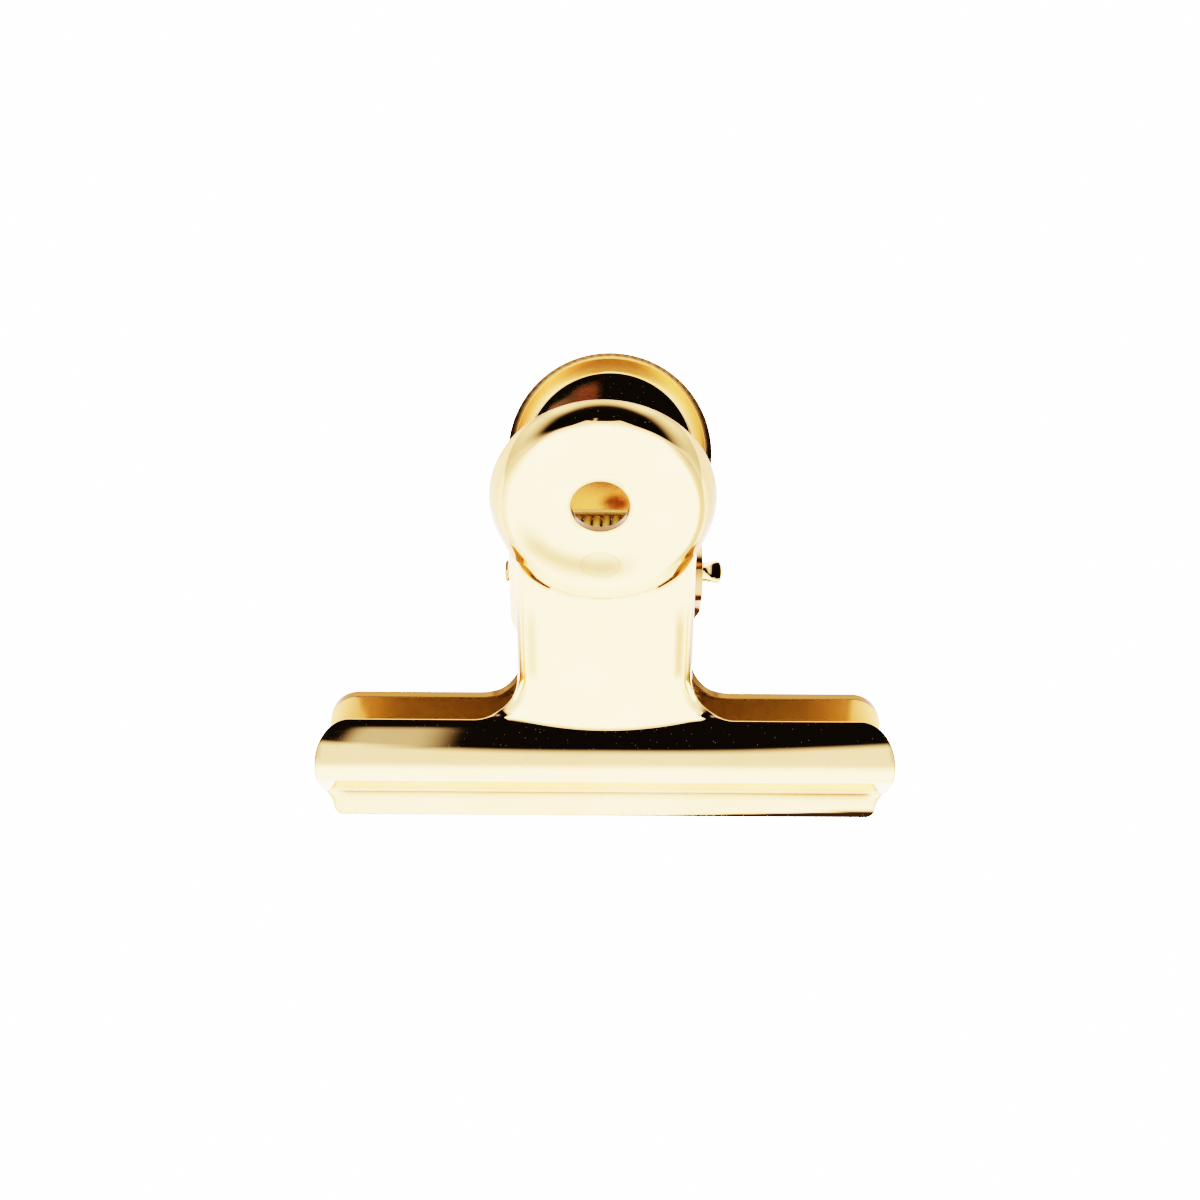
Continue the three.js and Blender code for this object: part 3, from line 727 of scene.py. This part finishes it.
# the pin's left end is darker, more so away from its axis, and darker still on its side towards the handles
pin_end_dark = smooth((-4.99 - px) / 0.06) * (0.55 + 0.45 * smooth((np.abs(pv[:, 1] - PIN_H) - 0.3) / 0.15))
pin_tone = pin_tone * (1 - pin_end_dark[:, None]) + np.array([0.3, 0.25, 0.2, 0.1]) * pin_end_dark[:, None]
pin_end_side_dark = smooth((-5.04 - px) / 0.05) * smooth((pv[:, 1] - PIN_H - 0.05) / 0.12)
pin_tone = pin_tone * (1 - pin_end_side_dark[:, None]) + np.array([0.10, 0.075, 0.055, 0.1]) * pin_end_side_dark[:, None]
pin = make_object("pin", to_frame(pv), pf, None, pin_tone)


# ------------------------------------------------------------------ spring
def catmull3(pts, n):
    """Centripetal spline through the points, n points in all."""
    pts = [np.array(p, float) for p in pts]
    ext = [2 * pts[0] - pts[1]] + pts + [2 * pts[-1] - pts[-2]]
    knots = [0.0]
    for p, q in zip(ext[:-1], ext[1:]):
        knots.append(knots[-1] + max(np.linalg.norm(q - p), 1e-6) ** 0.5)
    out = []
    for t in np.linspace(knots[1], knots[-2], n):
        i = min(max(int(np.searchsorted(knots, t, side="right")) - 1, 1), len(pts) - 1)
        t0, t1, t2, t3 = knots[i - 1 : i + 3]
        p0, p1, p2, p3 = ext[i - 1 : i + 3]
        a1 = (t1 - t) / (t1 - t0) * p0 + (t - t0) / (t1 - t0) * p1
        a2 = (t2 - t) / (t2 - t1) * p1 + (t - t1) / (t2 - t1) * p2
        a3 = (t3 - t) / (t3 - t2) * p2 + (t - t2) / (t3 - t2) * p3
        b1 = (t2 - t) / (t2 - t0) * a1 + (t - t0) / (t2 - t0) * a2
        b2 = (t3 - t) / (t3 - t1) * a2 + (t - t1) / (t3 - t1) * a3
        out.append((t2 - t) / (t2 - t1) * b1 + (t - t1) / (t2 - t1) * b2)
    return np.array(out)


def sweep(path, r, m=20, cap0=True, cap1=True):
    """Round wire along a path, closed with slightly domed ends."""
    path = np.array(path)
    tan = np.gradient(path, axis=0)
    tan /= np.linalg.norm(tan, axis=1, keepdims=True)
    up = np.array([0.0, 0.0, 1.0])
    if abs(tan[0] @ up) > 0.9:
        up = np.array([0.0, 1.0, 0.0])
    u = up - (up @ tan[0]) * tan[0]
    u /= np.linalg.norm(u)
    verts, faces = [], []
    rings = []
    frames = []
    for i, t in enumerate(tan):
        u = u - (u @ t) * t
        u /= np.linalg.norm(u)
        frames.append((u.copy(), np.cross(t, u)))
    items = [(path[i], frames[i], r) for i in range(len(path))]
    if cap0:
        items = [(path[0] - tan[0] * 0.05, frames[0], r * 0.55), (path[0] - tan[0] * 0.035, frames[0], r * 0.9)] + items
    if cap1:
        items = items + [(path[-1] + tan[-1] * 0.035, frames[-1], r * 0.9), (path[-1] + tan[-1] * 0.05, frames[-1], r * 0.55)]
    for p, (u, w), rr in items:
        rings.append(len(verts))
        for i in range(m):
            a = 2 * math.pi * i / m
            verts.append(p + rr * (math.cos(a) * u + math.sin(a) * w))
    for a, b in zip(rings[:-1], rings[1:]):
        for i in range(m):
            j = (i + 1) % m
            faces.append((a + i, a + j, b + j, b + i))
    faces.append(tuple(range(rings[0], rings[0] + m))[::-1])
    faces.append(tuple(range(rings[-1], rings[-1] + m)))
    return np.array(verts), faces


def local(x, u, n):
    return DISC_C + np.array([x, 0, 0]) + u * U_AX + n * N_AX


x0 = COIL_TURNS * COIL_PITCH / 2


def leg(side):
    t = math.radians(125)
    start = np.array([x0, PIN_H + COIL_R * math.cos(t), COIL_R * math.sin(t)])
    pts = [start, local(x0 - 0.05, -5.0, -1.95), local(x0 - 0.2, -4.0, -1.7), local(2.6, -3.42, -1.0), local(1.6, -3.3, -0.71), local(-1.6, -3.3, -0.71)]
    out = catmull3(pts, 60)
    if side < 0:
        out[:, 0] *= -1
        out[:, 2] *= -1
    return out


def coil():
    per = 40
    n = int(COIL_TURNS * per)
    a0, a1 = math.radians(-125), math.radians(125) - 2 * math.pi * math.ceil(COIL_TURNS)
    f = np.linspace(0, 1, n + 1)
    a = a0 + (a1 - a0) * f
    return np.stack([-x0 + 2 * x0 * f, PIN_H + COIL_R * np.cos(a), COIL_R * np.sin(a)], 1)


cp = coil()
front_leg = leg(1)
rear_leg = leg(-1)
spring_parts = []
for name, path in (("spring_coil", cp), ("spring_front_leg", front_leg), ("spring_rear_leg", rear_leg)):
    sv, sf = sweep(path, WIRE_R)
    spring_parts.append(make_object(name, to_frame(sv), sf))
coil_part, front_leg_part, rear_leg_part = spring_parts

# ------------------------------------------------------------------ materials
def gold(name, colour, rough, dust=0.0, scratch=0.012, tarnish=0.5, toned=False, edge=None):
    m = bpy.data.materials.new(name)
    m.use_nodes = True
    nt = m.node_tree
    nt.nodes.clear()
    out = nt.nodes.new("ShaderNodeOutputMaterial")
    p = nt.nodes.new("ShaderNodeBsdfPrincipled")
    p.inputs["Metallic"].default_value = 1.0
    if edge is not None:
        p.inputs["Specular Tint"].default_value = (*edge, 1)
    nt.links.new(p.outputs[0], out.inputs[0])
    tc = nt.nodes.new("ShaderNodeTexCoord")
    # slow variation of the lacquered plating
    n1 = nt.nodes.new("ShaderNodeTexNoise")
    n1.inputs["Scale"].default_value = 260
    n1.inputs["Detail"].default_value = 3
    nt.links.new(tc.outputs["Object"], n1.inputs["Vector"])
    ramp = nt.nodes.new("ShaderNodeValToRGB")
    ramp.color_ramp.elements[0].position = 0.35
    ramp.color_ramp.elements[1].position = 0.7
    c = np.array(colour)
    dark = c * np.array([0.97, 0.94, 0.88]) * (1 - 0.03 * tarnish)
    ramp.color_ramp.elements[0].color = (*dark, 1)
    ramp.color_ramp.elements[1].color = (*c, 1)
    nt.links.new(n1.outputs["Fac"], ramp.inputs["Fac"])
    base = ramp.outputs["Color"]
    if toned:
        # the tone attribute multiplies painted shade and painted reflections into the base colour
        tone = nt.nodes.new("ShaderNodeAttribute")
        tone.attribute_name = "tone"
        deep = nt.nodes.new("ShaderNodeMix")
        deep.data_type = "RGBA"
        deep.blend_type = "MULTIPLY"
        deep.inputs[0].default_value = 1.0
        nt.links.new(base, deep.inputs[6])
        nt.links.new(tone.outputs["Color"], deep.inputs[7])
        base = deep.outputs[2]
    # fine rolling lines and hairline scratches in the roughness
    mp = nt.nodes.new("ShaderNodeMapping")
    mp.inputs["Scale"].default_value = (1.0, 14.0, 14.0)
    nt.links.new(tc.outputs["Object"], mp.inputs["Vector"])
    n2 = nt.nodes.new("ShaderNodeTexNoise")
    n2.inputs["Scale"].default_value = 900
    n2.inputs["Detail"].default_value = 2
    nt.links.new(mp.outputs[0], n2.inputs["Vector"])
    mr = nt.nodes.new("ShaderNodeMapRange")
    mr.inputs["From Min"].default_value = 0.3
    mr.inputs["From Max"].default_value = 0.75
    mr.inputs["To Min"].default_value = rough
    mr.inputs["To Max"].default_value = rough + 0.02
    nt.links.new(n2.outputs["Fac"], mr.inputs["Value"])
    rough_out = mr.outputs[0]
    if toned:
        dull = nt.nodes.new("ShaderNodeAttribute")
        dull.attribute_name = "dull"
        add = nt.nodes.new("ShaderNodeMath")
        add.operation = "ADD"
        nt.links.new(mr.outputs[0], add.inputs[0])
        nt.links.new(dull.outputs["Fac"], add.inputs[1])
        rough_out = add.outputs[0]
    bump = nt.nodes.new("ShaderNodeBump")
    bump.inputs["Strength"].default_value = scratch
    bump.inputs["Distance"].default_value = 0.00002
    nt.links.new(n2.outputs["Fac"], bump.inputs["Height"])
    nt.links.new(bump.outputs[0], p.inputs["Normal"])
    if dust > 0:
        # a few dust specks
        vo = nt.nodes.new("ShaderNodeTexVoronoi")
        vo.inputs["Scale"].default_value = 4600
        nt.links.new(tc.outputs["Object"], vo.inputs["Vector"])
        near_ = nt.nodes.new("ShaderNodeMath")
        near_.operation = "LESS_THAN"
        near_.inputs[1].default_value = 0.095
        nt.links.new(vo.outputs["Distance"], near_.inputs[0])
        sep = nt.nodes.new("ShaderNodeSeparateColor")
        nt.links.new(vo.outputs["Color"], sep.inputs[0])
        pick = nt.nodes.new("ShaderNodeMath")
        pick.operation = "LESS_THAN"
        pick.inputs[1].default_value = dust
        nt.links.new(sep.outputs[0], pick.inputs[0])
        both = nt.nodes.new("ShaderNodeMath")
        both.operation = "MULTIPLY"
        nt.links.new(near_.outputs[0], both.inputs[0])
        nt.links.new(pick.outputs[0], both.inputs[1])
        mixc = nt.nodes.new("ShaderNodeMix")
        mixc.data_type = "RGBA"
        mixc.inputs[7].default_value = (0.17, 0.15, 0.13, 1)
        nt.links.new(both.outputs[0], mixc.inputs[0])
        nt.links.new(base, mixc.inputs[6])
        nt.links.new(mixc.outputs[2], p.inputs["Base Color"])
        mixr = nt.nodes.new("ShaderNodeMix")
        mixr.data_type = "FLOAT"
        mixr.inputs[3].default_value = 0.7
        nt.links.new(both.outputs[0], mixr.inputs[0])
        nt.links.new(rough_out, mixr.inputs[2])
        nt.links.new(mixr.outputs[0], p.inputs["Roughness"])
    else:
        nt.links.new(base, p.inputs["Base Color"])
        nt.links.new(rough_out, p.inputs["Roughness"])
    return m


GOLD = (0.91, 0.54, 0.225)
plate_mat = gold("gold_plating", GOLD, 0.015, dust=0.8, scratch=0.002, toned=True)
pin_mat = gold("pin_plating", (0.89, 0.52, 0.22), 0.05, scratch=0.004, toned=True)
# the coil is a darker copy of the legs' wire colour: painted shade, as its turns lie in the plates' shadow
coil_shaded_mat = gold("spring_coil_shaded", (0.17, 0.105, 0.036), 0.42, scratch=0.004, edge=(0.55, 0.36, 0.16))
leg_mat = gold("spring_leg_plating", (0.5, 0.3, 0.098), 0.6, scratch=0.004, edge=(0.8, 0.54, 0.24))
for o in (front_plate, rear_plate):
    o.data.materials.append(plate_mat)
pin.data.materials.append(pin_mat)
coil_part.data.materials.append(coil_shaded_mat)
for o in (front_leg_part, rear_leg_part):
    o.data.materials.append(leg_mat)

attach(front_plate, "front_half")
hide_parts("front_jaw_plate")
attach(rear_plate, "rear_half")
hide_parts("rear_jaw_plate")
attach(pin, "rear_half")
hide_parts("pivot_pin")
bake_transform(coil_part)
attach(front_leg_part, "front_half")
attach(rear_leg_part, "rear_half")
for o in spring_parts:
    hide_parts("torsion_spring")

# ------------------------------------------------------------------ floor, light, camera
floor_me = bpy.data.meshes.new("floor")
floor_me.from_pydata([(-3, -3, 0), (3, -3, 0), (3, 3, 0), (-3, 3, 0)], [], [(0, 1, 2, 3)])
floor = bpy.data.objects.new("floor", floor_me)
bpy.context.scene.collection.objects.link(floor)
fm = bpy.data.materials.new("floor_paper")
fm.use_nodes = True
fb = fm.node_tree.nodes["Principled BSDF"]
fb.inputs["Base Color"].default_value = (0.92, 0.92, 0.92, 1)
fb.inputs["Roughness"].default_value = 0.9
fb.inputs["Specular IOR Level"].default_value = 0.0
fb.inputs["Emission Color"].default_value = (1, 1, 1, 1)
fpath = fm.node_tree.nodes.new("ShaderNodeLightPath")
fglow = fm.node_tree.nodes.new("ShaderNodeMapRange")
fglow.inputs["To Min"].default_value = 3.2
fglow.inputs["To Max"].default_value = 9.0
fm.node_tree.links.new(fpath.outputs["Is Camera Ray"], fglow.inputs["Value"])
fm.node_tree.links.new(fglow.outputs[0], fb.inputs["Emission Strength"])
floor_me.materials.append(fm)

SKY = 6.0
world = bpy.data.worlds.new("studio")
bpy.context.scene.world = world
world.use_nodes = True
nt = world.node_tree
nt.nodes.clear()


def node(kind, **inputs):
    x = nt.nodes.new(kind)
    for k, val in inputs.items():
        x.inputs[k].default_value = val
    return x


def math_node(op, a, b=None):
    x = nt.nodes.new("ShaderNodeMath")
    x.operation = op
    for i, s in enumerate((a, b)):
        if s is None:
            continue
        if isinstance(s, (int, float)):
            x.inputs[i].default_value = s
        else:
            nt.links.new(s, x.inputs[i])
    return x.outputs[0]


def ramp_node(value, lo, hi, to_lo=0.0, to_hi=1.0):
    x = nt.nodes.new("ShaderNodeMapRange")
    x.interpolation_type = "SMOOTHSTEP"
    x.inputs["From Min"].default_value = lo
    x.inputs["From Max"].default_value = hi
    x.inputs["To Min"].default_value = to_lo
    x.inputs["To Max"].default_value = to_hi
    nt.links.new(value, x.inputs["Value"])
    return x.outputs[0]


tc = nt.nodes.new("ShaderNodeTexCoord")
sep = nt.nodes.new("ShaderNodeSeparateXYZ")
nt.links.new(tc.outputs["Generated"], sep.inputs[0])
back = math_node("ARCTAN2", sep.outputs[1], sep.outputs[2])   # from straight up towards +Y
side = math_node("ARCTAN2", sep.outputs[0], sep.outputs[2])   # from straight up towards +X
round_ = math_node("ARCTAN2", sep.outputs[0], sep.outputs[1])  # round the horizon from +Y towards +X
polar = math_node("ARCCOSINE", sep.outputs[2])                # from straight up
away = math_node("ABSOLUTE", round_)
D = math.radians


def times(*values):
    out = values[0]
    for x in values[1:]:
        out = math_node("MULTIPLY", out, x)
    return out


# dark side of the room behind the handles, reaching further round low down
wide = math_node("ABSOLUTE", side)
bow = math_node("SUBTRACT", times(side, side, 4.5 / (8 * 8) * 57.3, ramp_node(wide, D(9), D(22), 1.0, 0.0)), ramp_node(wide, D(12), D(30), 0.0, D(10)))
back_b = math_node("SUBTRACT", back, bow)
dark = times(ramp_node(back_b, D(6), D(10)), ramp_node(round_, D(-100), D(-72)), ramp_node(round_, D(90), D(112), 1.0, 0.0), ramp_node(polar, D(48), D(80), 1.0, 0.0))
# a pale door in it, to the left
door = times(ramp_node(side, D(-8.1), D(-7.3)), ramp_node(side, D(-5.9), D(-4.3), 1.0, 0.0), ramp_node(back, D(10), D(12)), ramp_node(back, D(20), D(23.5), 1.0, 0.0))
dark = math_node("SUBTRACT", dark, times(door, 0.42))
keep = math_node("SUBTRACT", 1.0, times(dark, 0.995))
# the ceiling gets dimmer towards that side
over = ramp_node(back, D(-55), D(7), 1.0, 0.36)
near_top = ramp_node(polar, D(30), D(60), 0.0, 1.0)
mixed = math_node("MAXIMUM", over, near_top)
flank = times(ramp_node(away, D(30), D(50)), ramp_node(away, D(100), D(140), 1.0, 0.0), ramp_node(polar, D(25), D(50)))
sides = math_node("SUBTRACT", 1.0, times(flank, 0.55))
level = times(keep, mixed, sides, SKY)
lp = nt.nodes.new("ShaderNodeLightPath")
bg = node("ShaderNodeBackground")
bg.inputs["Color"].default_value = (1, 1, 1, 1)
nt.links.new(level, bg.inputs["Strength"])
bg2 = node("ShaderNodeBackground")
bg2.inputs["Color"].default_value = (1, 1, 1, 1)
bg2.inputs["Strength"].default_value = 16.0
mix = nt.nodes.new("ShaderNodeMixShader")
nt.links.new(lp.outputs["Is Camera Ray"], mix.inputs[0])
nt.links.new(bg.outputs[0], mix.inputs[1])
nt.links.new(bg2.outputs[0], mix.inputs[2])
wo = nt.nodes.new("ShaderNodeOutputWorld")
nt.links.new(mix.outputs[0], wo.inputs[0])

cam_data = bpy.data.cameras.new("camera")
cam_data.lens = 58.653
cam_data.sensor_width = 36
cam_data.shift_x = -0.004867
cam_data.shift_y = 0.003633
cam_data.clip_start = 0.01
cam_data.clip_end = 10
cam = bpy.data.objects.new("camera", cam_data)
cam.location = (0, -0.001192, 0.107314)
cam.rotation_euler = (0, 0, math.radians(0.35))
bpy.context.scene.collection.objects.link(cam)
bpy.context.scene.camera = cam

view = bpy.context.scene.view_settings
view.view_transform = "Filmic"
view.look = "High Contrast"
view.exposure = 0.0
view.gamma = 1.0
